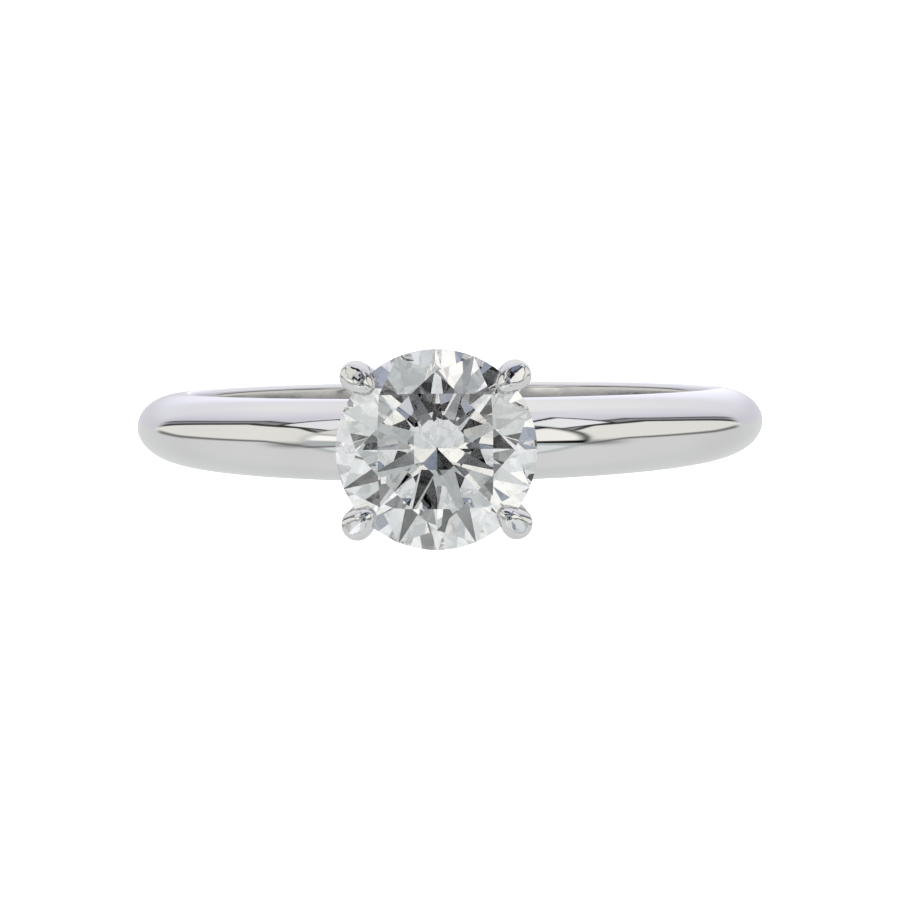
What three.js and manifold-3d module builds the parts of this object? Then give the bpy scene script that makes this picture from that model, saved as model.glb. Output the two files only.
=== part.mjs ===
// A solitaire engagement ring: a round brilliant held by four claws in an open
// basket head, on a plain tapered shank of polished white gold.
//
// Millimetres. The origin is the centre of the finger hole, +Y runs along the
// finger, +Z points out through the middle of the stone, and +X is across the hand.

import * as THREE from "three";
import { mergeVertices } from "three/addons/utils/BufferGeometryUtils.js";
import Module from "manifold-3d";

// ---------------------------------------------------------------- driving sizes

const FINGER_HOLE_DIAMETER = 17.3; // US size 7
const SHANK_THICKNESS = 1.85;
const SHANK_WIDTH_UNDER_STONE = 2.8;
const SHANK_WIDTH_AT_PALM = 1.65;
const SHANK_EDGE_ROUND = 0.3; // the softened inner edges of a comfort fit

const STONE_DIAMETER = 6.5; // a one carat round brilliant
const GIRDLE_HEIGHT = 13.8; // the stone's widest plane, above the finger hole's centre
const GIRDLE_THICKNESS = 0.2;
const TABLE_SHARE = 0.62; // table, corner to corner, over the stone's diameter
const CROWN_ANGLE = 33.5; // degrees
const PAVILION_ANGLE = 41; // degrees
const STAR_LENGTH = 0.5; // share of the crown's width that the star facets take
const LOWER_HALF_LENGTH = 0.78; // share of the pavilion that the lower half facets take
const CULET_DIAMETER = 0.06;

const CLAW_AZIMUTH = 43; // degrees from +X, the same in each quarter
const CLAW_WIRE_FOOT = 0.95; // wire diameter at the base
const CLAW_WIRE_TIP = 1.1; // wire diameter at the girdle
const CLAW_END_ROUND = 0.42; // how far the rounding of the claw's end runs back
// The middle line of a claw, as a Bezier curve of distance from the axis and height.
// It starts inside the base, and the wire is then cut off flat on the base's top.
const CLAW_LINE = [
  [0.8, 10.65],
  [2.6, 12.2],
  [3.93, 13.3],
  [3.42, 14.62],
];

const RAIL_WIRE = 0.58; // wire diameter of both gallery rails
const RAIL_INSET = 0.3; // the rails' middle line lies this far inside the claws'
const LOWER_RAIL_HEIGHT = 11.5;
const UPPER_RAIL_HEIGHT = 12.55;

const BASE_TOP_HEIGHT = 10.93;
const BASE_TOP_DIAMETER = 3.1;
const BASE_FOOT_HEIGHT = 9.3;
const BASE_FOOT_DIAMETER = 2.5;
const BASE_EDGE_ROUND = 0.18;
const PEG_DIAMETER = 1.4;
const PEG_END_HEIGHT = 8.75; // just inside the finger hole's wall

const GAP = 0.02; // left between pieces that are soldered or pressed together

const CIRCLE_STEPS = 72;
const WIRE_STEPS = 12;

// ---------------------------------------------------------------- working values

const HOLE_RADIUS = FINGER_HOLE_DIAMETER / 2;
const STONE_RADIUS = STONE_DIAMETER / 2;
const GIRDLE_TOP = GIRDLE_HEIGHT + GIRDLE_THICKNESS / 2;
const GIRDLE_FOOT = GIRDLE_HEIGHT - GIRDLE_THICKNESS / 2;
const TABLE_RADIUS = STONE_RADIUS * TABLE_SHARE;
const CROWN_SLOPE = Math.tan(THREE.MathUtils.degToRad(CROWN_ANGLE));
const PAVILION_SLOPE = Math.tan(THREE.MathUtils.degToRad(PAVILION_ANGLE));
const TABLE_HEIGHT = GIRDLE_TOP + (STONE_RADIUS - TABLE_RADIUS) * CROWN_SLOPE;
const CULET_HEIGHT = GIRDLE_FOOT - (STONE_RADIUS - CULET_DIAMETER / 2) * PAVILION_SLOPE;

const whiteGold = { color: 0xd9d9dc, roughness: 0.08, metalness: 1 };
const diamondLook = { color: 0xf2f5f7, roughness: 0, metalness: 0 };

// ---------------------------------------------------------------- solids

const wasm = await Module();
wasm.setup();

// A closed three.js geometry as a solid that can be joined and cut.
function solidFrom(geometry) {
  const bare = new THREE.BufferGeometry();
  bare.setAttribute("position", geometry.getAttribute("position"));
  if (geometry.index) bare.setIndex(geometry.index);
  const merged = mergeVertices(bare, 1e-5);
  return new wasm.Manifold(
    new wasm.Mesh({
      numProp: 3,
      vertProperties: new Float32Array(merged.attributes.position.array),
      triVerts: new Uint32Array(merged.index.array),
    }),
  );
}

function geometryFrom(solid) {
  const mesh = solid.getMesh();
  const geometry = new THREE.BufferGeometry();
  geometry.setAttribute("position", new THREE.BufferAttribute(mesh.vertProperties, 3));
  geometry.setIndex(new THREE.BufferAttribute(mesh.triVerts, 1));
  const faceted = geometry.toNonIndexed();
  faceted.computeVertexNormals();
  return faceted;
}

// A profile of [distance from the axis, height] turned about +Z.
function turned(profile, steps = CIRCLE_STEPS) {
  const points = profile.map(([r, z]) => new THREE.Vector2(r, z));
  return new THREE.LatheGeometry(points, steps).rotateX(Math.PI / 2);
}

// Points round an elliptical arc, from one angle to another, in degrees.
function arc(x, y, radiusX, radiusY, from, to, steps) {
  return Array.from({ length: steps + 1 }, (_, i) => {
    const angle = THREE.MathUtils.degToRad(from + ((to - from) * i) / steps);
    return [x + radiusX * Math.cos(angle), y + radiusY * Math.sin(angle)];
  });
}

function named(name, geometry, look) {
  const mesh = new THREE.Mesh(geometry, new THREE.MeshStandardMaterial(look));
  mesh.name = name;
  return mesh;
}

// ---------------------------------------------------------------- shank

// A half-round band with softened inner edges, turned about the finger's line. Its
// width falls evenly with height, from the stone down to the palm. swell makes it
// larger all over, to cut a seat for it.
function shankBlank(swell = 0) {
  const halfWidth = (SHANK_WIDTH_UNDER_STONE + SHANK_WIDTH_AT_PALM) / 4;
  const spread = (SHANK_WIDTH_UNDER_STONE - SHANK_WIDTH_AT_PALM) / 4;
  const round = SHANK_EDGE_ROUND;
  const shoulder = HOLE_RADIUS + round;
  const dome = SHANK_THICKNESS - round;
  const section = [
    ...arc(shoulder, round - halfWidth, round + swell, round + swell, 180, 270, 3),
    ...arc(shoulder, 0, dome + swell, halfWidth + swell, -90, 90, 14).slice(1),
    ...arc(shoulder, halfWidth - round, round + swell, round + swell, 90, 180, 3).slice(1),
  ];
  section.push(section[0]);
  const band = new THREE.LatheGeometry(
    section.map(([r, y]) => new THREE.Vector2(r, y)),
    CIRCLE_STEPS,
  );
  const place = band.getAttribute("position");
  const reach = HOLE_RADIUS + SHANK_THICKNESS;
  for (let i = 0; i < place.count; i++) {
    const widening = 1 + (spread / halfWidth) * (place.getZ(i) / reach);
    place.setY(i, place.getY(i) * widening);
  }
  return solidFrom(band);
}

function makeShank() {
  const drill = turned([
    [0, HOLE_RADIUS - 1],
    [PEG_DIAMETER / 2 + GAP, HOLE_RADIUS - 1],
    [PEG_DIAMETER / 2 + GAP, BASE_TOP_HEIGHT],
    [0, BASE_TOP_HEIGHT],
  ], 2 * WIRE_STEPS);
  return named("shank", geometryFrom(shankBlank().subtract(solidFrom(drill))), whiteGold);
}

// ---------------------------------------------------------------- head

// The turned base of the head. Its underside is a saddle that sits astride the
// shank, and its peg goes down through the hole drilled there.
function makeBase() {
  const top = BASE_TOP_DIAMETER / 2;
  const round = BASE_EDGE_ROUND;
  const cup = solidFrom(turned([
    [0, BASE_FOOT_HEIGHT],
    [BASE_FOOT_DIAMETER / 2, BASE_FOOT_HEIGHT],
    ...arc(top - round, BASE_TOP_HEIGHT - round, round, round, 0, 90, 4),
    [0, BASE_TOP_HEIGHT],
  ], 3 * WIRE_STEPS));
  const peg = solidFrom(turned([
    [0, PEG_END_HEIGHT],
    [PEG_DIAMETER / 2, PEG_END_HEIGHT],
    [PEG_DIAMETER / 2, BASE_TOP_HEIGHT - round],
    [0, BASE_TOP_HEIGHT - round],
  ], 2 * WIRE_STEPS));
  return named("head_base", geometryFrom(cup.subtract(shankBlank(GAP)).add(peg)), whiteGold);
}

// The claws' middle line, in the plane of the axis.
const clawLine = new THREE.CubicBezierCurve3(
  ...CLAW_LINE.map(([r, z]) => new THREE.Vector3(r, 0, z)),
);

// How far the claws' middle line is from the axis at this height.
function clawReach(height) {
  const points = clawLine.getPoints(200);
  return points.find((point) => point.z >= height).x;
}

// A ring of round wire that ties the claws together.
function railSolid(height, swell = 0) {
  const reach = clawReach(height) - RAIL_INSET;
  const radius = RAIL_WIRE / 2 + swell;
  const section = arc(reach, height, radius, radius, 0, 360, WIRE_STEPS);
  section[WIRE_STEPS] = section[0];
  return solidFrom(turned(section, CIRCLE_STEPS / 2));
}

// The shape of a setting bur: it cuts the notch that the girdle sits in.
function bearingCut() {
  const rim = STONE_RADIUS + GAP;
  return solidFrom(turned([
    [0, GIRDLE_FOOT - STONE_RADIUS * PAVILION_SLOPE - GAP],
    [rim, GIRDLE_FOOT - GAP],
    [rim, GIRDLE_TOP + GAP],
    [TABLE_RADIUS, TABLE_HEIGHT + 2 * GAP],
    [0, TABLE_HEIGHT + 2 * GAP],
  ]));
}

// A round wire with a domed end, laid along the claws' middle line.
function clawBlank() {
  const length = clawLine.getLength();
  const foot = CLAW_WIRE_FOOT / 2;
  const tip = CLAW_WIRE_TIP / 2;
  const straight = 9;
  const profile = [[0, 0]];
  for (let i = 0; i <= straight; i++) {
    const along = i / straight;
    profile.push([foot + (tip - foot) * along, (length - CLAW_END_ROUND) * along]);
  }
  profile.push(...arc(0, length - CLAW_END_ROUND, tip, CLAW_END_ROUND, 0, 90, 5).slice(1, -1));
  profile.push([0, length]);
  const wire = new THREE.LatheGeometry(
    profile.map(([r, along]) => new THREE.Vector2(r, along)),
    WIRE_STEPS,
  );
  const place = wire.getAttribute("position");
  for (let i = 0; i < place.count; i++) {
    const share = THREE.MathUtils.clamp(place.getY(i) / length, 0, 1);
    const middle = clawLine.getPointAt(share);
    const ahead = clawLine.getTangentAt(share);
    place.setXYZ(
      i,
      middle.x + place.getX(i) * ahead.z,
      -place.getZ(i),
      middle.z - place.getX(i) * ahead.x,
    );
  }
  return solidFrom(wire);
}

function makeClaw(name, azimuth) {
  const below = solidFrom(turned([
    [0, BASE_FOOT_HEIGHT],
    [BASE_TOP_DIAMETER, BASE_FOOT_HEIGHT],
    [BASE_TOP_DIAMETER, BASE_TOP_HEIGHT + GAP],
    [0, BASE_TOP_HEIGHT + GAP],
  ]));
  const claw = clawBlank()
    .rotate([0, 0, azimuth])
    .subtract(below)
    .subtract(bearingCut())
    .subtract(railSolid(LOWER_RAIL_HEIGHT, GAP))
    .subtract(railSolid(UPPER_RAIL_HEIGHT, GAP));
  return named(name, geometryFrom(claw), whiteGold);
}

// ---------------------------------------------------------------- stone

// Everything beyond a facet's plane, as a block to grind away.
function beyond(point, normal) {
  const side = 3 * STONE_DIAMETER;
  const block = new THREE.BoxGeometry(side, side, side).translate(0, 0, side / 2);
  const turn = new THREE.Quaternion().setFromUnitVectors(new THREE.Vector3(0, 0, 1), normal);
  return solidFrom(block.applyQuaternion(turn).translate(point.x, point.y, point.z));
}

// A point of the stone from its distance from the axis, azimuth and height.
function spot(radius, azimuth, height) {
  const angle = THREE.MathUtils.degToRad(azimuth);
  return new THREE.Vector3(radius * Math.cos(angle), radius * Math.sin(angle), height);
}

// The plane through three points, facing away from the stone's middle.
function facetThrough(a, b, c) {
  const normal = new THREE.Vector3().crossVectors(b.clone().sub(a), c.clone().sub(a)).normalize();
  const outward = a.clone().sub(new THREE.Vector3(0, 0, GIRDLE_HEIGHT));
  return { point: a, normal: normal.dot(outward) < 0 ? normal.negate() : normal };
}

// The 57 facets of a round brilliant, and its tiny culet.
function facets() {
  const half = Math.cos(Math.PI / 8);
  const tableEdge = TABLE_RADIUS * half;
  const starReach = tableEdge + STAR_LENGTH * (STONE_RADIUS - tableEdge);
  const starHeight = GIRDLE_TOP + (STONE_RADIUS - starReach * half) * CROWN_SLOPE;
  const lowerReach = STONE_RADIUS * (1 - LOWER_HALF_LENGTH);
  const lowerHeight = GIRDLE_FOOT - (STONE_RADIUS - lowerReach * half) * PAVILION_SLOPE;
  const up = new THREE.Vector3(0, 0, 1);
  const down = new THREE.Vector3(0, 0, -1);
  const list = [
    { point: new THREE.Vector3(0, 0, TABLE_HEIGHT), normal: up },
    { point: new THREE.Vector3(0, 0, CULET_HEIGHT), normal: down },
  ];
  for (let k = 0; k < 8; k++) {
    const between = 45 * k; // where two kites meet
    const kite = between + 22.5;
    const crown = THREE.MathUtils.degToRad(CROWN_ANGLE);
    const pavilion = THREE.MathUtils.degToRad(PAVILION_ANGLE);
    const out = spot(1, kite, 0);
    list.push({
      point: spot(STONE_RADIUS, kite, GIRDLE_TOP),
      normal: out.clone().multiplyScalar(Math.sin(crown)).addScaledVector(up, Math.cos(crown)),
    });
    list.push({
      point: spot(STONE_RADIUS, kite, GIRDLE_FOOT),
      normal: out.clone().multiplyScalar(Math.sin(pavilion)).addScaledVector(down, Math.cos(pavilion)),
    });
    const star = spot(starReach, between, starHeight);
    list.push(facetThrough(
      star,
      spot(TABLE_RADIUS, between - 22.5, TABLE_HEIGHT),
      spot(TABLE_RADIUS, between + 22.5, TABLE_HEIGHT),
    ));
    const lower = spot(lowerReach, between, lowerHeight);
    for (const side of [-22.5, 22.5]) {
      list.push(facetThrough(
        star,
        spot(STONE_RADIUS, between, GIRDLE_TOP),
        spot(STONE_RADIUS, between + side, GIRDLE_TOP),
      ));
      list.push(facetThrough(
        lower,
        spot(STONE_RADIUS, between, GIRDLE_FOOT),
        spot(STONE_RADIUS, between + side, GIRDLE_FOOT),
      ));
    }
  }
  return list;
}

// The stone is bruted round first and its facets are then ground one by one.
function makeDiamond() {
  const height = 2 * STONE_RADIUS;
  const rough = new THREE.CylinderGeometry(STONE_RADIUS, STONE_RADIUS, height, CIRCLE_STEPS)
    .rotateX(Math.PI / 2)
    .translate(0, 0, GIRDLE_HEIGHT);
  const stone = facets().reduce(
    (left, { point, normal }) => left.subtract(beyond(point, normal)),
    solidFrom(rough),
  );
  return named("diamond", geometryFrom(stone), diamondLook);
}

// ---------------------------------------------------------------- assembly

const ring = new THREE.Group();
ring.name = "engagement_ring";

const head = new THREE.Group();
head.add(
  makeBase(),
  named("lower_gallery_rail", geometryFrom(railSolid(LOWER_RAIL_HEIGHT)), whiteGold),
  named("upper_gallery_rail", geometryFrom(railSolid(UPPER_RAIL_HEIGHT)), whiteGold),
  makeClaw("claw_back_right", CLAW_AZIMUTH),
  makeClaw("claw_back_left", 180 - CLAW_AZIMUTH),
  makeClaw("claw_front_left", 180 + CLAW_AZIMUTH),
  makeClaw("claw_front_right", -CLAW_AZIMUTH),
);
ring.add(makeShank(), head, makeDiamond());

export default ring;
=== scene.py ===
# %% [markdown]
# # A solitaire engagement ring
#
# A round brilliant stands in an open basket of four claws, on a plain band of
# polished white gold. It is three small lessons in one: a polished metal shows
# nothing but the room round it, so the room is made with as much care as the ring; a
# bent wire is a circle extruded, moved and turned many times; and a cut stone is a
# cylinder with one flat after another ground on it.
#
# The frame is the measured model of the ring. It stays where it is, and each piece
# here is built on its measures and then stands in for it.

# %% Load the frame
import math

import bpy
from mathutils import Matrix, Vector


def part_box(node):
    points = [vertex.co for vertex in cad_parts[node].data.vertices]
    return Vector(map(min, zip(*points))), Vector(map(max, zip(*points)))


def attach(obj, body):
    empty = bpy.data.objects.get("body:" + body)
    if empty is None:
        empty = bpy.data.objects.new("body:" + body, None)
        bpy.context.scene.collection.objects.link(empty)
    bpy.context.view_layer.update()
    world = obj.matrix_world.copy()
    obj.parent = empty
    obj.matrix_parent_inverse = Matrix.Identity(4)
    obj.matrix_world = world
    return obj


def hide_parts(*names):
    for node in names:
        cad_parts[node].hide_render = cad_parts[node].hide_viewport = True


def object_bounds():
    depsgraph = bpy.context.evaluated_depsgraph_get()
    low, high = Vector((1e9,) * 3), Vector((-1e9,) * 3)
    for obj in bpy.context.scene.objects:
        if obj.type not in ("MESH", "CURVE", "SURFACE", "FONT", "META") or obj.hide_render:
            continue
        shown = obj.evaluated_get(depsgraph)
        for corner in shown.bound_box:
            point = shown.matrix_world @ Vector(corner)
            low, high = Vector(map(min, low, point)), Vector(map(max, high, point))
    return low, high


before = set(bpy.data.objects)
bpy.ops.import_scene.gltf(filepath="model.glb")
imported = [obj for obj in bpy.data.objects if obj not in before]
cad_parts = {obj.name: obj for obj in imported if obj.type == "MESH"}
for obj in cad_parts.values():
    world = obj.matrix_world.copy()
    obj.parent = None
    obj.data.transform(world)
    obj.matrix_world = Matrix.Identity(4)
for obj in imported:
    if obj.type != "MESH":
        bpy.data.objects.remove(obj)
cad_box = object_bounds()
print("nodes:", sorted(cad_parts))

# %% [markdown]
# ## Working in millimetres
#
# A ring is some 25 mm high, and Blender's unit is the metre. Merging, bisecting and
# bevelling have small fixed limits that would weld the corners of a piece this size
# together, so every piece is modelled with 1 unit for 1 mm, as on a jeweller's
# drawing, and shrunk to metres when it is done.

# %% Millimetres and back
MM = 0.001  # one millimetre, in Blender's metres
FULL_TURN = 2 * math.pi  # radians
HAIR = 0.001  # mm, close enough to count as the same place
FINE_GAP = 0.0001  # mm, the same for pieces with very small faces


def box_mm(node):
    """The lowest and highest corner of a node of the frame, in millimetres."""
    low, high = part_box(node)
    return low / MM, high / MM


def deselect():
    """Nothing is selected after this, so an operator can't act on the wrong piece."""
    if bpy.context.mode != "OBJECT":
        bpy.ops.object.mode_set(mode="OBJECT")
    bpy.ops.object.select_all(action="DESELECT")


def only(piece):
    """Selects one piece, and makes it the active one."""
    deselect()
    piece.select_set(True)
    bpy.context.view_layer.objects.active = piece


def pick(piece, wanted):
    """Goes into edit mode with those vertices selected whose place passes the test."""
    only(piece)
    bpy.ops.object.mode_set(mode="EDIT")
    bpy.ops.mesh.select_mode(type="VERT")
    bpy.ops.mesh.select_all(action="DESELECT")
    bpy.ops.object.mode_set(mode="OBJECT")
    for vertex in piece.data.vertices:
        vertex.select = wanted(vertex.co)
    bpy.ops.object.mode_set(mode="EDIT")


def everything(piece):
    """Goes into edit mode with all of the piece selected."""
    pick(piece, lambda place: True)


def mend(piece, gap=HAIR):
    """Merges doubled vertices, then turns every face outwards."""
    everything(piece)
    bpy.ops.mesh.remove_doubles(threshold=gap)
    bpy.ops.mesh.normals_make_consistent(inside=False)
    bpy.ops.object.mode_set(mode="OBJECT")


def apply_modifier(piece, kind, **settings):
    """Adds a modifier with its settings, and applies it."""
    only(piece)
    modifier = piece.modifiers.new(kind.title(), kind)
    for name, value in settings.items():
        setattr(modifier, name, value)
    bpy.ops.object.modifier_apply(modifier=modifier.name)


def named(name):
    """The primitive just added, under its own name and with its place in its mesh."""
    piece = bpy.context.active_object
    piece.name = name
    piece.data.name = name
    bpy.ops.object.transform_apply(location=True, rotation=True, scale=True)
    return piece


def combine(piece, tool, operation):
    """Cuts a tool's shape out of a piece, or joins it on, and takes the tool away."""
    apply_modifier(piece, "BOOLEAN", object=tool, operation=operation, solver="EXACT")
    bpy.data.objects.remove(tool)


def copy_of(piece, name):
    """A copy with a mesh of its own."""
    twin = piece.copy()
    twin.data = piece.data.copy()
    twin.name = name
    twin.data.name = name
    bpy.context.scene.collection.objects.link(twin)
    return twin


def turned_bar(name, stages, steps):
    """A solid bar on the Z axis, drawn out in stages of (radius, height)."""
    radius, height = stages[0]
    deselect()
    bpy.ops.mesh.primitive_circle_add(
        vertices=steps, radius=radius, fill_type="NGON", location=(0, 0, height)
    )
    bar = named(name)
    everything(bar)
    for next_radius, next_height in stages[1:]:
        step = {"value": (0, 0, next_height - height)}
        bpy.ops.mesh.extrude_region_move(TRANSFORM_OT_translate=step)
        share = next_radius / radius
        bpy.ops.transform.resize(value=(share, share, 1), center_override=(0, 0, next_height))
        radius, height = next_radius, next_height
    mend(bar, FINE_GAP)
    return bar


def quarter(start_radius, start_height, end_radius, end_height, steps):
    """The stages of a rounded corner, from upright to level."""
    stages = []
    for i in range(1, steps + 1):
        angle = math.pi / 2 * i / steps
        stages.append((
            end_radius + (start_radius - end_radius) * math.cos(angle),
            start_height + (end_height - start_height) * math.sin(angle),
        ))
    return stages


def to_metres(piece, smooth_angle):
    """Smooths the edges softer than the angle, and turns millimetres to metres."""
    only(piece)
    bpy.ops.object.shade_smooth_by_angle(angle=math.radians(smooth_angle))
    piece.scale = (MM, MM, MM)
    bpy.ops.object.transform_apply(location=True, rotation=True, scale=True)
    print(piece.name, len(piece.data.polygons), "faces")


# %% [markdown]
# ## The camera
#
# Jewellery for a catalogue is photographed from far away with a long lens, so that
# the near and far side of the band are drawn almost alike. Here it looks down on the
# stone from 350 mm, a few degrees off the stone's own line, which shows a sliver of
# the finger hole behind the band. The camera's matrix is set from its three
# directions: right, up, and back towards the camera.

# %% Place the camera
CAMERA_DISTANCE = 350  # mm
CAMERA_TILT = 3.52  # degrees off the stone's line, towards +Y
CAMERA_SWING = 1.86  # degrees off the stone's line, towards +X
CAMERA_ROLL = -0.62  # degrees
CAMERA_AIM = (0.0, -0.9)  # mm right and up of the finger hole's centre, in the picture
PICTURE_WIDTH = 30.22  # mm of the subject that the picture spans
SENSOR_WIDTH = 36  # mm

tilt, swing, roll = (math.radians(a) for a in (CAMERA_TILT, CAMERA_SWING, CAMERA_ROLL))
back = Vector((
    math.sin(swing) * math.cos(tilt),
    math.sin(tilt),
    math.cos(swing) * math.cos(tilt),
))
level = Vector((math.cos(swing), 0, -math.sin(swing)))
upright = back.cross(level)
right = level * math.cos(roll) + upright * math.sin(roll)
up = upright * math.cos(roll) - level * math.sin(roll)

target = right * CAMERA_AIM[0] + up * CAMERA_AIM[1]
stand = back * CAMERA_DISTANCE
look = (stand - target).normalized()
right = up.cross(look).normalized()
up = look.cross(right)

camera_data = bpy.data.cameras.new("camera")
camera_data.sensor_width = SENSOR_WIDTH
camera_data.lens = SENSOR_WIDTH * CAMERA_DISTANCE / PICTURE_WIDTH
camera = bpy.data.objects.new("camera", camera_data)
bpy.context.scene.collection.objects.link(camera)
camera.matrix_world = Matrix((
    (right.x, up.x, look.x, stand.x * MM),
    (right.y, up.y, look.y, stand.y * MM),
    (right.z, up.z, look.z, stand.z * MM),
    (0, 0, 0, 1),
))
bpy.context.scene.camera = camera
print("lens", round(camera_data.lens), "mm")

# %% [markdown]
# ## Colours and nodes
#
# Colours are written as designers write them, as sRGB hex values, and turned to the
# linear numbers that Blender shades with. One function adds a node, sets its
# values and links its inputs.

# %% Colour and node helpers
def linear(hex_value, strength=1.0):
    """A colour such as "D5D5DC" as linear red, green, blue and alpha, at a strength."""
    shares = [int(hex_value[i:i + 2], 16) / 255 for i in (0, 2, 4)]
    curve = [s / 12.92 if s <= 0.04045 else ((s + 0.055) / 1.055) ** 2.4 for s in shares]
    return (*(part * strength for part in curve), 1.0)


def add(tree, kind, inputs=None, **settings):
    """Adds a node. An input is set to its value, or linked where that is an output."""
    node = tree.nodes.new(kind)
    for name, value in settings.items():
        setattr(node, name, value)
    for key, value in (inputs or {}).items():
        if isinstance(value, bpy.types.NodeSocket):
            tree.links.new(value, node.inputs[key])
        else:
            node.inputs[key].default_value = value
    return node


# %% [markdown]
# ## The room that the ring reflects
#
# A mirror has no colour of its own, so what the eye reads as polished white gold is
# the light tent round it. This one is painted on the world by direction. +Y is up the
# picture, so the tent's height is the Y of the direction, and +Z is where the camera
# stands.
#
# - Below is a neutral white table.
# - A dark seam parts it from a warm, cream-white wall, the brightest part in front.
# - The wall is highest in front and runs down to nothing at both sides, which is why
#   its reflection on the band is a long lens with pointed ends.
# - Over the wall is a dark double edge, then a cool, lavender-white roof, which is
#   brighter behind the ring.

# %% Measure the directions
NOON = 90  # degrees on the clock, which starts at the right and runs up

world = bpy.data.worlds.new("light_tent")
bpy.context.scene.world = world
world.use_nodes = True
tent = world.node_tree
tent.nodes.clear()

direction = add(tent, "ShaderNodeTexCoord").outputs["Generated"]
axes = add(tent, "ShaderNodeSeparateXYZ", {0: direction}).outputs
across, height, ahead = axes["X"], axes["Y"], axes["Z"]

# How far round from the camera a direction is, at its own height: 1 is straight ahead.
flat = add(tent, "ShaderNodeVectorMath", {0: direction, 1: (1, 0, 1)}, operation="MULTIPLY")
flat = add(tent, "ShaderNodeVectorMath", {0: flat.outputs[0]}, operation="NORMALIZE")
facing = add(tent, "ShaderNodeSeparateXYZ", {0: flat.outputs[0]}).outputs["Z"]

# Degrees off the camera's line, degrees on the clock round it, and degrees from noon.
off_camera = add(tent, "ShaderNodeMath", {0: ahead}, operation="ARCCOSINE").outputs[0]
off_camera = add(tent, "ShaderNodeMath", {0: off_camera}, operation="DEGREES").outputs[0]
clock = add(tent, "ShaderNodeMath", {0: height, 1: across}, operation="ARCTAN2").outputs[0]
clock = add(tent, "ShaderNodeMath", {0: clock}, operation="DEGREES").outputs[0]
off_noon = add(tent, "ShaderNodeMath", {0: clock, 1: NOON}, operation="SUBTRACT").outputs[0]
off_noon = add(tent, "ShaderNodeMath", {0: off_noon}, operation="ABSOLUTE").outputs[0]
print("nodes that measure:", len(tent.nodes))

# %% [markdown]
# The wall's top edge is a curve over the angle round from the camera. It starts from
# nothing 138 degrees round, where table and roof meet without a line, and comes down
# again over the camera like a brow. The seam under the wall dips towards the camera.

# %% Draw the wall's two edges
WALL_END = math.cos(math.radians(138))
WALL_HEIGHT = 0.92
WALL_BEND = 0.55  # under 1, so that the wall rises fast and then levels out
BROW = {"From Min": 0.42, "From Max": 0.75, "To Min": 0.575, "To Max": 0.34}
SEAM_FADE = {"From Min": 0.0, "From Max": 0.2}
SEAM_DIP = {"From Min": 0.3, "From Max": 0.75, "To Min": -0.065, "To Max": -0.33}
EASE = {"interpolation_type": "SMOOTHSTEP"}

to_wall_end = {"Value": facing, "From Min": WALL_END}
wall_share = add(tent, "ShaderNodeMapRange", to_wall_end).outputs[0]
rise = add(tent, "ShaderNodeMath", {0: wall_share, 1: WALL_BEND}, operation="POWER")
rise = add(tent, "ShaderNodeMath", {0: rise.outputs[0], 1: WALL_HEIGHT}, operation="MULTIPLY")
brow = add(tent, "ShaderNodeMapRange", {"Value": facing, **BROW}, **EASE)
lower = {0: rise.outputs[0], 1: brow.outputs[0]}
wall_top = add(tent, "ShaderNodeMath", lower, operation="MINIMUM")

fade = add(tent, "ShaderNodeMapRange", {"Value": wall_share, **SEAM_FADE}, **EASE)
dip = add(tent, "ShaderNodeMapRange", {"Value": facing, **SEAM_DIP}, **EASE)
seam = add(tent, "ShaderNodeMath", {0: fade.outputs[0], 1: dip.outputs[0]}, operation="MULTIPLY")

over_wall, over_seam = (
    add(tent, "ShaderNodeMath", {0: height, 1: edge.outputs[0]}, operation="SUBTRACT").outputs[0]
    for edge in (wall_top, seam)
)
print("nodes for the wall:", len(tent.nodes))

# %% [markdown]
# The tent is painted as on glass, one coat over another. A coat covers where all of its
# eases are up, and each ease goes up while a measure goes from one value to another.

# %% Paint the tent
def lay(under, colour, eases, opacity=1.0):
    """Lays a colour over another, by the product of (measure, start, end) eases."""
    share = opacity
    for measure, start, end in eases:
        span = {"Value": measure, "From Min": start, "From Max": end}
        ease = add(tent, "ShaderNodeMapRange", span, **EASE)
        share = add(tent, "ShaderNodeMath", {0: share, 1: ease.outputs[0]}, operation="MULTIPLY")
        share = share.outputs[0]
    coat = add(tent, "ShaderNodeMix", {0: share, 6: under, 7: colour}, data_type="RGBA")
    return coat.outputs[2]


HAS_WALL = (wall_share, 0.0, 0.06)
IN_ROOF = (over_wall, -0.01, 0.02)

TENT_COATS = [
    # colour, strength, opacity, eases
    ("E6E7E7", 1.0, 1.0, [(facing, -0.1, -0.8)]),  # table, far behind
    ("FBFAF4", 1.0, 1.0, [(over_seam, -0.01, 0.05)]),  # cream wall
    ("E4E3EA", 1.0, 1.0, [IN_ROOF]),  # roof, in the shade over the wall
    ("F3F3FA", 1.0, 1.0, [(over_wall, 0.12, 0.4)]),  # lavender roof
    ("FFFFFF", 1.0, 1.0, [(over_wall, 0.3, 0.85), (facing, -0.05, -0.5)]),  # roof, far behind
    # A lamp behind the ring, which draws the bright line along its upper edges.
    ("F5F5FF", 1.15, 1.0, [IN_ROOF, (off_camera, 142, 160), (off_noon, 60, 15)]),
    # The seam between table and wall.
    ("767674", 1.0, 0.9, [HAS_WALL, (over_seam, -0.075, 0.0), (over_seam, 0.075, 0.0)]),
    # The double edge: a grey band with a dark line along each side.
    ("A4A4A8", 1.0, 1.0, [HAS_WALL, (over_wall, 0.0, 0.02), (over_wall, 0.17, 0.11)]),
    ("3E3E3C", 1.0, 0.95, [HAS_WALL, (over_wall, -0.04, -0.01), (over_wall, 0.055, 0.015)]),
    ("3E3E3C", 1.0, 0.7, [HAS_WALL, (over_wall, 0.09, 0.115), (over_wall, 0.15, 0.12)]),
]

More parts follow.
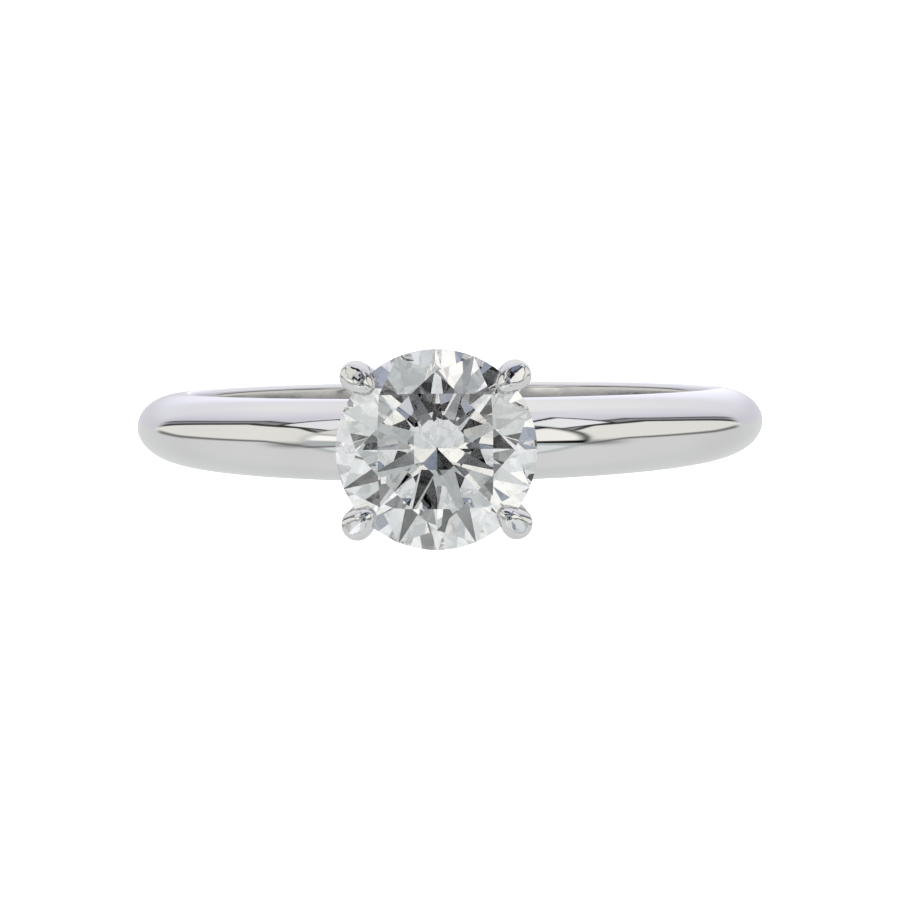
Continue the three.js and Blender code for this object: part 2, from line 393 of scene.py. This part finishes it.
painted = linear("EBECEB")  # the table in front
for hex_value, strength, opacity, eases in TENT_COATS:
    painted = lay(painted, linear(hex_value, strength), eases, opacity)
print("coats on the tent:", len(TENT_COATS))

# %% [markdown]
# The stone looks mostly at the 50 degrees round the camera, and a stone in a room
# without anything dark looks like chalk. So the camera itself is there, with the dark
# arm that it hangs from, and the cards and lamps that stand round it. Each is a piece
# of a ring round the camera, from one number of degrees off it to another, and from
# one place on the clock to another, in degrees up from the right. Each is laid over
# those before it.

# %% Hang the cards and lamps round the camera
ALL_ROUND = (-200, 200)  # degrees, more than the whole clock, so that no end shows
HALF_CLOCK = 180
AROUND_CAMERA = [
    # colour, strength, degrees off the camera, degrees on the clock, softness
    ("343434", 1.0, (50, 79.5), (38, 64), 1.0),  # frame of the reflector on the right
    ("343434", 1.0, (50, 79.5), (116, 142), 1.0),  # frame of the reflector on the left
    ("F6F6F8", 1.1, (50, 77.5), (40, 61.5), 1.0),  # reflector on the right
    ("F6F6F8", 1.1, (50, 77.5), (118.5, 140), 1.0),  # reflector on the left
    ("8A8A8C", 1.0, (44, 68), (-20, -8), 10.0),  # shade under the lamps
    ("8A8A8C", 1.0, (44, 68), (188, 200), 10.0),
    ("CBD0D0", 1.0, (-9, 54), ALL_ROUND, 4.0),  # white umbrella
    ("76787C", 1.0, (13.5, 18.7), ALL_ROUND, 0.6),  # rim of the lens hood
    ("0A0A0C", 1.0, (26, 54), (-16, 152), 2.0),  # dark arm and bracket over the camera
    ("949DAF", 1.0, (36, 52.5), (50, 82), 2.0),  # blue-grey cloth on the bracket
    ("DEE0E6", 1.0, (33.5, 41.4), (88, 142), 1.0),  # pale cable drum
    ("F4F3EC", 1.0, (41, 54), (126, 153), 1.5),  # cream card on the left
    ("FEFDF8", 1.1, (17.6, 51), (-6, 45), 3.0),  # lamp on the right
    ("FCFBF5", 1.25, (35, 52), (158, 178), 3.0),  # lamp on the left
    ("F1F4F4", 1.0, (20.5, 50), (199, 335), 2.0),  # white card under the camera
    ("8A8A8C", 1.0, (30, 56), (198, 203), 2.0),  # edge of the card, in its own shade
    ("080808", 1.0, (20, 29.5), (212, 234), 1.0),  # clip that holds the card
    ("080808", 1.0, (14.5, 18), (250, 356), 1.0),  # shadow side of the hood
    ("D8DCDC", 1.0, (28.2, 30.2), (61, 119), 1.0),  # bright edge of the bracket
    ("A6ABB6", 1.0, (34, 47), (-67, -55), 2.0),  # fold in the card
    ("FBFCFF", 1.2, (36.4, 55), (223, 237), 2.0),  # small lamp behind the card
    ("040406", 1.0, (-9, 9), ALL_ROUND, 1.2),  # lens
]

for hex_value, strength, (near, far), (start, end), soft in AROUND_CAMERA:
    eases = [(off_camera, near - soft, near + soft), (off_camera, far + soft, far - soft)]
    middle = (start + end) / 2
    half = (end - start) / 2
    if half < HALF_CLOCK:
        aside = add(tent, "ShaderNodeMath", {0: clock, 1: middle}, operation="SUBTRACT")
        wrap = {0: aside.outputs[0], 1: HALF_CLOCK, 2: -HALF_CLOCK}
        aside = add(tent, "ShaderNodeMath", wrap, operation="WRAP")
        aside = add(tent, "ShaderNodeMath", {0: aside.outputs[0]}, operation="ABSOLUTE")
        eases.append((aside.outputs[0], half + soft, half - soft))
    painted = lay(painted, linear(hex_value, strength), eases)
print("cards and lamps:", len(AROUND_CAMERA))

# %% [markdown]
# The camera sees plain white behind the ring, and everything else sees the tent.

# %% Hide the tent from the camera
room = add(tent, "ShaderNodeBackground", {"Color": painted})
plain = add(tent, "ShaderNodeBackground", {"Color": linear("FFFFFF")})
seen = add(tent, "ShaderNodeLightPath").outputs["Is Camera Ray"]
both = add(tent, "ShaderNodeMixShader", {0: seen, 1: room.outputs[0], 2: plain.outputs[0]})
add(tent, "ShaderNodeOutputWorld", {"Surface": both.outputs[0]})
print("tent nodes:", len(tent.nodes))

# %% [markdown]
# ## The floor and the lamp over it
#
# The floor is a plain, pale, matt board, level with the lowest point of the band. The
# lamp over it stands for a wide, soft, even ceiling light, so it is a sun as broad as a
# third of the sky: the board is then as bright far away as it is near the ring, and all
# that is left of the ring's shadow is a small patch where it stands. Mirrors show
# neither board nor lamp, because they show the tent.

# %% Lay the floor
FLOOR_SIDE = 4000  # mm

deselect()
floor_height = cad_box[0].z / MM
bpy.ops.mesh.primitive_plane_add(size=FLOOR_SIDE, location=(0, 0, floor_height))
floor = named("floor")
floor.scale = (MM, MM, MM)
bpy.ops.object.transform_apply(location=True, rotation=True, scale=True)
floor.visible_glossy = False
floor.visible_transmission = False

floor_white = bpy.data.materials.new("matt_white_board")
floor_white.use_nodes = True
board = floor_white.node_tree.nodes["Principled BSDF"]
board.inputs["Base Color"].default_value = linear("F6F6F6")
board.inputs["Roughness"].default_value = 0.9
board.inputs["Specular IOR Level"].default_value = 0.1
floor.data.materials.append(floor_white)
print("floor at", round(floor_height, 2), "mm")

# %% Hang the lamp
LAMP_BREADTH = 60  # degrees of the sky that it fills
LAMP_STRENGTH = 5.0  # enough to wash out most of the ring's shadow

lamp_data = bpy.data.lights.new("soft_lamp", "SUN")
lamp_data.angle = math.radians(LAMP_BREADTH)
lamp_data.energy = LAMP_STRENGTH
lamp = bpy.data.objects.new("soft_lamp", lamp_data)
lamp.visible_camera = False
lamp.visible_glossy = False
lamp.visible_transmission = False
bpy.context.scene.collection.objects.link(lamp)
print("lamp:", lamp.name)

# %% [markdown]
# ## Polished white gold
#
# The ring is 14 carat white gold under a thin coat of rhodium, the whitest of the
# bright platings. It is buffed to a mirror, so its roughness is close to nothing, but
# a hand-held buff leaves the surface very slightly wavy, and wear leaves hairlines.
# Real hairlines are a few microns wide, too fine to be seen one by one, so they are
# drawn as patches of more and less spread, from 0.06 to 0.8 mm across.

# %% Make the white gold
PLATED_DARKER = "E4E3E4"  # rhodium, where the plating is thinnest
PLATED_LIGHTER = "E8E8E8"


def white_gold(name, roughness, hairline_mm, wave_mm, wave_height_mm, shades):
    """Plated gold with its roughness, the size of its hairlines and waves, and two shades."""
    material = bpy.data.materials.new(name)
    material.use_nodes = True
    tree = material.node_tree
    shader = tree.nodes["Principled BSDF"]
    place = add(tree, "ShaderNodeTexCoord").outputs["Object"]
    waves = add(tree, "ShaderNodeTexNoise", {
        "Vector": place,
        "Scale": 1 / (wave_mm * MM),
        "Detail": 1.0,
    })
    hairlines = add(tree, "ShaderNodeTexNoise", {
        "Vector": place,
        "Scale": 1 / (hairline_mm * MM),
        "Detail": 4.0,
        "Distortion": 2.0,
    })
    spread = add(tree, "ShaderNodeMapRange", {
        "Value": hairlines.outputs[0],
        "From Min": 0.35,
        "From Max": 0.75,
        "To Min": roughness * 0.7,
        "To Max": roughness * 1.6,
    })
    relief = add(tree, "ShaderNodeBump", {
        "Height": waves.outputs[0],
        "Strength": 1.0,
        "Distance": wave_height_mm * MM,
    })
    lightness = add(tree, "ShaderNodeMapRange", {
        "Value": waves.outputs[0],
        "From Min": 0.3,
        "From Max": 0.7,
    })
    darker, lighter = shades
    tone = add(tree, "ShaderNodeMix", {
        0: lightness.outputs[0],
        6: linear(darker),
        7: linear(lighter),
    }, data_type="RGBA")
    tree.links.new(tone.outputs[2], shader.inputs["Base Color"])
    tree.links.new(spread.outputs[0], shader.inputs["Roughness"])
    tree.links.new(relief.outputs[0], shader.inputs["Normal"])
    shader.inputs["Metallic"].default_value = 1.0
    return material


# The outside of the band is buffed last and hardest: a mirror with a slow, soft wave.
plated = (PLATED_DARKER, PLATED_LIGHTER)
band_gold = white_gold("rhodium_plated_gold_buffed", 0.05, 0.12, 3.5, 0.0015, plated)

# The buff reaches less of the inside: duller, and greyer as painted shade in the hole.
inside = ("D0CFD0", "D6D5D5")
shaded_inside_gold = white_gold("rhodium_plated_gold_inside_painted_shade", 0.12, 0.8, 3.0, 0.001, inside)

# The head is tumbled with steel shot, which leaves it bright, but softly dimpled.
head_gold = white_gold("rhodium_plated_gold_tumbled", 0.12, 0.08, 0.8, 0.001, plated)

# The claws are rubbed down by hand with a steel burnisher: small, sharp highlights.
claw_gold = white_gold("rhodium_plated_gold_burnished", 0.06, 0.06, 0.5, 0.001, plated)

for finish in (band_gold, shaded_inside_gold, head_gold, claw_gold):
    print(finish.name)

# %% [markdown]
# ## Diamond
#
# Clear, with an index of refraction of 2.417, where quartz and glass have about 1.5. That
# number alone makes the brilliance: light that enters the top is thrown back by the
# facets underneath, instead of passing out through them. The facets are ground flat
# but never quite flat, so a soft wave over a millimetre or so shades each one from end
# to end. The girdle is left as it was bruted, with the fine frosting of a ground edge.
# A real one's grain is finer than the 0.03 mm here, which is coarse enough to show.

# %% Make the diamond
DIAMOND_IOR = 2.417


def diamond(name, roughness, grain_mm, grain_height_mm, detail):
    """Clear diamond with a surface relief of a given grain and height."""
    material = bpy.data.materials.new(name)
    material.use_nodes = True
    tree = material.node_tree
    shader = tree.nodes["Principled BSDF"]
    place = add(tree, "ShaderNodeTexCoord").outputs["Object"]
    grain = add(tree, "ShaderNodeTexNoise", {
        "Vector": place,
        "Scale": 1 / (grain_mm * MM),
        "Detail": detail,
    })
    relief = add(tree, "ShaderNodeBump", {
        "Height": grain.outputs[0],
        "Strength": 1.0,
        "Distance": grain_height_mm * MM,
    })
    tree.links.new(relief.outputs[0], shader.inputs["Normal"])
    shader.inputs["Base Color"].default_value = linear("FFFFFF")
    shader.inputs["Roughness"].default_value = roughness
    shader.inputs["IOR"].default_value = DIAMOND_IOR
    shader.inputs["Transmission Weight"].default_value = 1.0
    return material


# Polished on a wheel with diamond dust: sharp flashes, faintly shaded along each facet.
diamond_look = diamond("diamond_polished_facet", 0.0, 1.5, 0.0008, 1.0)

# Ground against another diamond and left so: a thin frosted line round the stone.
girdle_look = diamond("diamond_bruted_girdle", 0.25, 0.03, 0.002, 3.0)
print(diamond_look.name, "and", girdle_look.name)

# %% [markdown]
# ## The shank
#
# A real shank is half-round wire bent on a mandrel. In Blender the natural tool is
# spin: draw the section once, and turn it about the finger's line. The section starts
# as a circle squeezed to an ellipse. Its inner half is cut away and replaced by a
# straight wall with softened corners, which makes it comfortable to wear. A taper then
# squeezes the band along the finger, from its full width under the stone to its
# narrowest at the palm.

# %% Draw and spin the shank
FINGER_HOLE_RADIUS = 8.65  # mm
SHANK_EDGE_ROUND = 0.3
SHANK_EDGE_BEVEL = 0.95 * SHANK_EDGE_ROUND  # just short of meeting the dome
SHANK_WIDTH_UNDER_STONE = 2.8
SHANK_WIDTH_AT_PALM = 1.65
SECTION_STEPS = 96
SHANK_STEPS = 320

shank_radius = box_mm("shank")[1].x
half_width = (SHANK_WIDTH_UNDER_STONE + SHANK_WIDTH_AT_PALM) / 4
width_change = (SHANK_WIDTH_UNDER_STONE - SHANK_WIDTH_AT_PALM) / 4
shoulder = FINGER_HOLE_RADIUS + SHANK_EDGE_ROUND
dome = shank_radius - shoulder

deselect()
bpy.ops.mesh.primitive_circle_add(vertices=SECTION_STEPS, radius=1, location=(0, 0, 0))
shank = named("shank_band")
everything(shank)
bpy.ops.transform.resize(value=(dome, half_width, 1), center_override=(0, 0, 0))
bpy.ops.transform.translate(value=(shoulder, 0, 0))
pick(shank, lambda place: place.x < shoulder - HAIR)
bpy.ops.mesh.delete(type="VERT")
pick(shank, lambda place: place.x < shoulder + HAIR)
bpy.ops.mesh.extrude_region_move(TRANSFORM_OT_translate={"value": (-SHANK_EDGE_ROUND, 0, 0)})
bpy.ops.mesh.edge_face_add()
bpy.ops.mesh.bevel(offset=SHANK_EDGE_BEVEL, segments=8, affect="VERTICES")
everything(shank)
bpy.ops.mesh.spin(steps=SHANK_STEPS, angle=FULL_TURN, center=(0, 0, 0), axis=(0, 1, 0))
mend(shank)
# A taper's factor widens the top by its half, and narrows the bottom by as much.
apply_modifier(
    shank,
    "SIMPLE_DEFORM",
    deform_method="TAPER",
    deform_axis="Z",
    lock_x=True,
    factor=2 * width_change / half_width,
)
print("shank width:", round(2 * max(v.co.y for v in shank.data.vertices), 2), "mm at its widest")

# %% [markdown]
# The head's peg goes down through a hole drilled under the stone. The blank is
# copied first, because the head's base needs the same shape for its saddle.

# %% Drill the shank
PEG_RADIUS = 0.7
PEG_STEPS = 64
base_low, base_high = box_mm("head_base")

saddle = copy_of(shank, "saddle_tool")
drill = turned_bar("drill", [
    (PEG_RADIUS, FINGER_HOLE_RADIUS - 1),
    (PEG_RADIUS, base_high.z),
], PEG_STEPS)
combine(shank, drill, "DIFFERENCE")
to_metres(shank, smooth_angle=40)

# %% [markdown]
# ## The head's base
#
# A collar turned on a lathe: a foot that sits astride the band, a slight waist, and a
# rounded rim under the claws, with a peg riveted over inside the finger hole. Turned
# work is drawn out in stages, each one an extrude and a resize of the last disc.

# %% Turn the base
FOOT_AND_WAIST = [
    # radius, height in mm
    (1.39, 9.3),
    (1.33, 10.05),
    (1.25, 10.25),
    (1.22, 10.35),
    (1.24, 10.45),
]
RIM_RADIUS = base_high.x
RIM_TOP = base_high.z
RIM_ROUND = 0.18  # the rim's upper corner
RIM_WALL = 0.2  # the upright part of the rim
PEG_ROUND = 0.12  # the peg's riveted end
BASE_STEPS = 96
CORNER_STEPS = 6
RIVET_STEPS = 4

waist_radius, waist_height = FOOT_AND_WAIST[-1]
rim_foot = RIM_TOP - RIM_ROUND - RIM_WALL
# The flare from waist to rim stops just short of both, so that no two stages meet.
flare = quarter(
    RIM_RADIUS, rim_foot - 0.02, waist_radius + 0.03, waist_height + 0.02, CORNER_STEPS
)
corner = quarter(
    RIM_RADIUS, RIM_TOP - RIM_ROUND, RIM_RADIUS - RIM_ROUND, RIM_TOP, CORNER_STEPS
)
base = turned_bar("basket_base", [
    *FOOT_AND_WAIST,
    *reversed(flare),
    (RIM_RADIUS, rim_foot),
    (RIM_RADIUS, RIM_TOP - RIM_ROUND),
    *corner,
    # the shallow dish inside the rim
    (RIM_RADIUS - 0.5, RIM_TOP - 0.02),
    (RIM_RADIUS - 0.75, RIM_TOP - 0.12),
    (0.1, RIM_TOP - 0.2),
], BASE_STEPS)
combine(base, saddle, "DIFFERENCE")

peg_end = PEG_RADIUS - PEG_ROUND
rivet = quarter(PEG_RADIUS, base_low.z + PEG_ROUND, peg_end, base_low.z, RIVET_STEPS)
peg = turned_bar("peg", [
    *reversed(rivet),
    (PEG_RADIUS, base_low.z + PEG_ROUND),
    (PEG_RADIUS, RIM_TOP - 0.4),
], PEG_STEPS)
combine(base, peg, "UNION")
to_metres(base, smooth_angle=35)

# %% [markdown]
# ## The gallery rails
#
# Two rings of wire tie the claws together. The section is a circle whose inner half is
# pressed flatter, as on D-shaped wire, and it is spun about the stone's line.

# %% Bend the rails
RAIL_STEPS = 144
WIRE_SIDES = 32
RAIL_FLATTENING = 0.55  # what is left of the inner half's depth


def rail(name, node):
    """A ring of wire as high and as wide as its node of the frame."""
    low, high = box_mm(node)
    wire = (high.z - low.z) / 2
    reach = high.x - wire
    middle = (high.z + low.z) / 2
    deselect()
    bpy.ops.mesh.primitive_circle_add(
        vertices=WIRE_SIDES,
        radius=wire,
        location=(reach, 0, middle),
        rotation=(math.pi / 2, 0, 0),
    )
    ring = named(name)
    pick(ring, lambda place: place.x < reach - HAIR)
    bpy.ops.transform.resize(value=(RAIL_FLATTENING, 1, 1), center_override=(reach, 0, middle))
    everything(ring)
    bpy.ops.mesh.spin(steps=RAIL_STEPS, angle=FULL_TURN, center=(0, 0, 0), axis=(0, 0, 1))
    mend(ring)
    to_metres(ring, smooth_angle=50)
    return ring


lower_rail = rail("lower_rail_wire", "lower_gallery_rail")
upper_rail = rail("upper_rail_wire", "upper_gallery_rail")

# %% [markdown]
# ## The claws
#
# Each claw is one tapered wire, soldered into the base, bent outwards under the stone
# and back over its edge. It is a disc extruded in stages along a curve: at each stage
# it is moved, turned to face along the curve and resized. Then comes the setter's work.
# The end of the wire is pressed over the stone until it lies on the crown, a file
# leaves a flat on the shoulder of the bend, and a bur cuts the notch that the stone's
# edge sits in.

# %% Choose the claw's line
CLAW_LINE = (
    # the curve's two ends, and the two points that it bends towards
    Vector((0.8, 0, 10.65)),
    Vector((2.6, 0, 12.2)),
    Vector((3.93, 0, 13.3)),
    Vector((3.42, 0, 14.62)),
)
CLAW_AZIMUTH = 43  # degrees from +X
CLAW_FOOT_RADIUS = 0.475
CLAW_TIP_RADIUS = 0.55  # the wire is thickest near the stone
CLAW_SIDES = 16
CLAW_STAGES = 11
CLAW_BEND_START = 0.84  # share of the line at which the setter's bend begins
CLAW_BEND = [
    # distance from the stone's line, height, lean in degrees, radius
    (3.555, 14.0, -30, 0.53),
    (3.43, 14.11, -50, 0.50),
    (3.25, 14.165, -70, 0.445),
    (3.07, 14.19, -85, 0.375),
    (2.93, 14.19, -95, 0.30),
    (2.83, 14.18, -100, 0.21),
    (2.78, 14.17, -100, 0.10),
]


def on_line(share):
    """The place and lean of the claw's middle line, from 0 at the foot to 1 at the tip."""
    a, b, c, d = CLAW_LINE
    rest = 1 - share
    place = a * rest ** 3 + b * 3 * rest ** 2 * share + c * 3 * rest * share ** 2 + d * share ** 3
    heading = (b - a) * rest ** 2 + (c - b) * 2 * rest * share + (d - c) * share ** 2
    return place, math.atan2(heading.x, heading.z)


def claw_stages():
    """(place, lean, radius) for each stage: the wire, then its bend over the stone."""
    stages = []
    for i in range(CLAW_STAGES + 1):
        share = CLAW_BEND_START * i / CLAW_STAGES
        place, lean = on_line(share)
        radius = CLAW_FOOT_RADIUS + (CLAW_TIP_RADIUS - CLAW_FOOT_RADIUS) * share
        stages.append((place, lean, radius))
    for reach, height_mm, lean, radius in CLAW_BEND:
        stages.append((Vector((reach, 0, height_mm)), math.radians(lean), radius))
    return stages


stages = claw_stages()
print("claw stages:", len(stages))

# %% Bend the wire, and file its flat
FILE_TILT = math.radians(22)  # of the flat, outwards
FILE_POINT = (3.654, 0, 14.43)  # mm, a place on the flat

place, lean, radius = stages[0]
deselect()
bpy.ops.mesh.primitive_circle_add(
    vertices=CLAW_SIDES, radius=radius, fill_type="NGON", location=place, rotation=(0, lean, 0)
)
claw = named("claw_blank")
everything(claw)
for next_place, next_lean, next_radius in stages[1:]:
    step = {"value": next_place - place}
    bpy.ops.mesh.extrude_region_move(TRANSFORM_OT_translate=step)
    # With no window open, a turn goes the other way round, so its sign is reversed.
    bpy.ops.transform.rotate(value=lean - next_lean, orient_axis="Y", center_override=next_place)
    size = next_radius / radius
    bpy.ops.transform.resize(value=(size, size, size), center_override=next_place)
    place, lean, radius = next_place, next_lean, next_radius
mend(claw, FINE_GAP)
everything(claw)
bpy.ops.mesh.bisect(
    plane_co=FILE_POINT,
    plane_no=(math.sin(FILE_TILT), 0, math.cos(FILE_TILT)),
    use_fill=True,
    clear_outer=True,
)
mend(claw, FINE_GAP)
print("claw top:", round(max(v.co.z for v in claw.data.vertices), 2), "mm")

# %% [markdown]
# The blank is smoothed by two levels of subdivision. The bur is the stone's own
# silhouette, a touch larger, so the notch fits the stone. The other three claws are
# this one's mirror images.

# %% Notch the claw, and make four
STONE_RADIUS = 3.25  # mm
GIRDLE_HEIGHT = 13.8
GIRDLE_HALF = 0.1  # half the girdle's thickness
TABLE_SHARE = 0.62  # of the stone's width
TABLE_RADIUS = STONE_RADIUS * TABLE_SHARE
CROWN_ANGLE = 33.5  # degrees
PAVILION_ANGLE = 41.0
CLEARANCE = 0.01
BUR_STEPS = 256

crown_slope = math.tan(math.radians(CROWN_ANGLE))
pavilion_slope = math.tan(math.radians(PAVILION_ANGLE))
girdle_top = GIRDLE_HEIGHT + GIRDLE_HALF
girdle_foot = GIRDLE_HEIGHT - GIRDLE_HALF
stone_low, stone_high = box_mm("diamond")
table_height = stone_high.z
culet_height = stone_low.z

apply_modifier(claw, "SUBSURF", levels=2, render_levels=2)
bur = turned_bar("bur", [
    (0.02, culet_height - 0.2),  # nearly a point, below the culet
    (STONE_RADIUS + CLEARANCE, girdle_foot - CLEARANCE),
    (STONE_RADIUS + CLEARANCE, girdle_top + CLEARANCE),
    (TABLE_RADIUS, table_height + CLEARANCE),
    (TABLE_RADIUS, table_height + 1),  # well above the claws
], BUR_STEPS)
everything(claw)
# With no window open, a turn goes the other way round, so its sign is reversed.
azimuth = -math.radians(CLAW_AZIMUTH)
bpy.ops.transform.rotate(value=azimuth, orient_axis="Z", center_override=(0, 0, 0))
bpy.ops.object.mode_set(mode="OBJECT")
combine(claw, bur, "DIFFERENCE")
print("claw faces:", len(claw.data.polygons))

claws = {}
for node, mirror in {
    "claw_back_right": (1, 1, 1),
    "claw_back_left": (-1, 1, 1),
    "claw_front_left": (-1, -1, 1),
    "claw_front_right": (1, -1, 1),
}.items():
    twin = copy_of(claw, node + "_wire")
    everything(twin)
    bpy.ops.transform.resize(value=mirror, center_override=(0, 0, 0))
    mend(twin, FINE_GAP)
    to_metres(twin, smooth_angle=50)
    claws[node] = twin
bpy.data.objects.remove(claw)

# %% [markdown]
# ## The stone
#
# A cutter bruts the rough crystal round, then grinds one flat after another. This is
# done here in the same order: a cylinder with many sides, and then one bisect for each
# facet, which clears what lies outside the plane and fills the cut. A round
# brilliant has 57 facets: the table, 8 kites, 8 stars and 16 upper halves on the
# crown, and 8 mains and 16 lower halves on the pavilion, with a tiny culet.

# %% Grind the facets
STAR_LENGTH = 0.5  # share of the way from the table to the girdle
LOWER_HALF_LENGTH = 0.78  # share of the way from the girdle to the culet
GIRDLE_SIDES = 256
STONE_GAP = 0.002  # mm, corners nearer than this are one corner
EIGHTH = 45  # degrees, one eighth of a turn
HALF_EIGHTH = EIGHTH / 2


def spot(radius, azimuth, height):
    """A point of the stone, from its distance from the axis, azimuth and height."""
    angle = math.radians(azimuth)
    return Vector((radius * math.cos(angle), radius * math.sin(angle), height))


def plane_through(a, b, c):
    """The plane through three points, facing away from the stone's middle."""
    normal = (b - a).cross(c - a).normalized()
    outward = a - Vector((0, 0, GIRDLE_HEIGHT))
    return a, normal if normal.dot(outward) > 0 else -normal


def sloped_plane(azimuth, height, angle, side):
    """A facet that touches the girdle at an azimuth and slopes at an angle to the level."""
    slope = math.radians(angle)
    out = spot(1, azimuth, 0) * math.sin(slope)
    return spot(STONE_RADIUS, azimuth, height), out + Vector((0, 0, side * math.cos(slope)))


def facet_planes():
    """A (place, normal) for each facet: table and culet, then eight times round."""
    flat_share = math.cos(math.radians(HALF_EIGHTH))  # an octagon's flats to its corners
    table_edge = TABLE_RADIUS * flat_share
    star_reach = table_edge + STAR_LENGTH * (STONE_RADIUS - table_edge)
    star_height = girdle_top + (STONE_RADIUS - star_reach * flat_share) * crown_slope
    lower_reach = STONE_RADIUS * (1 - LOWER_HALF_LENGTH)
    lower_height = girdle_foot - (STONE_RADIUS - lower_reach * flat_share) * pavilion_slope
    planes = [
        (Vector((0, 0, table_height)), Vector((0, 0, 1))),
        (Vector((0, 0, culet_height)), Vector((0, 0, -1))),
    ]
    for between in range(0, 360, EIGHTH):
        kite = between + HALF_EIGHTH
        planes.append(sloped_plane(kite, girdle_top, CROWN_ANGLE, 1))
        planes.append(sloped_plane(kite, girdle_foot, PAVILION_ANGLE, -1))
        star = spot(star_reach, between, star_height)
        planes.append(plane_through(
            star,
            spot(TABLE_RADIUS, between - HALF_EIGHTH, table_height),
            spot(TABLE_RADIUS, between + HALF_EIGHTH, table_height),
        ))
        lower = spot(lower_reach, between, lower_height)
        for side in (-HALF_EIGHTH, HALF_EIGHTH):
            planes.append(plane_through(
                star,
                spot(STONE_RADIUS, between, girdle_top),
                spot(STONE_RADIUS, between + side, girdle_top),
            ))
            planes.append(plane_through(
                lower,
                spot(STONE_RADIUS, between, girdle_foot),
                spot(STONE_RADIUS, between + side, girdle_foot),
            ))
    return planes


deselect()
bpy.ops.mesh.primitive_cylinder_add(
    vertices=GIRDLE_SIDES,
    radius=STONE_RADIUS,
    depth=2 * STONE_RADIUS,
    location=(0, 0, GIRDLE_HEIGHT),
)
stone = named("round_brilliant")
for place, normal in facet_planes():
    everything(stone)
    bpy.ops.mesh.bisect(plane_co=place, plane_no=normal, use_fill=True, clear_outer=True)
mend(stone, STONE_GAP)
to_metres(stone, smooth_angle=4)

# %% [markdown]
# ## Finishes and the frame
#
# The stone and the band each have two finishes, shared out by where a face lies: the
# girdle's faces stand upright, and the band's inside is all that is as near to the
# finger's line as the hole.

# %% Give the stone and the band their two finishes
UPRIGHT = 0.01  # an upright face's normal rises less than this
INSIDE_REACH = (FINGER_HOLE_RADIUS + 0.05) * MM

stone.data.materials.append(diamond_look)
stone.data.materials.append(girdle_look)
for face in stone.data.polygons:
    if abs(face.normal.z) < UPRIGHT:
        face.material_index = 1

shank.data.materials.append(band_gold)
shank.data.materials.append(shaded_inside_gold)
# The inside's finish is greyer: painted shade for the inside of the finger hole.
for face in shank.data.polygons:
    if math.hypot(face.center.x, face.center.z) < INSIDE_REACH:
        face.material_index = 1

for piece in (stone, shank):
    second = sum(face.material_index for face in piece.data.polygons)
    print(piece.name, "faces in the second finish:", second)

# %% [markdown]
# Each piece rides on the ring's one body, and stands in for its node.

# %% Put the ring together
pieces = [
    (shank, "shank", "band_white_gold", None),
    (base, "head_base", "head_white_gold", head_gold),
    (lower_rail, "lower_gallery_rail", "head_white_gold", head_gold),
    (upper_rail, "upper_gallery_rail", "head_white_gold", head_gold),
    (stone, "diamond", "diamond", None),
]
pieces += [(claws[node], node, "claw_white_gold", claw_gold) for node in claws]

for piece, node, slot, material in pieces:
    if material:
        piece.data.materials.append(material)
    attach(piece, "root")
    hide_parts(node)
    print(piece.name, "stands for", node)

# %% [markdown]
# ## Light paths
#
# Light bounces many times inside the stone before it comes out, so it is allowed more
# bounces than usual. The clamp keeps a rare, very bright bounce from leaving a speck.
# A gamma a little under 1 deepens the stone's darks, and the tent's colours are chosen
# for it.

# %% Set the light paths
cycles = bpy.context.scene.cycles
cycles.max_bounces = 32
cycles.transmission_bounces = 32
cycles.glossy_bounces = 12
cycles.sample_clamp_indirect = 10
cycles.use_denoising = True
shown = bpy.context.scene.view_settings
shown.view_transform = "Standard"
shown.gamma = 0.84
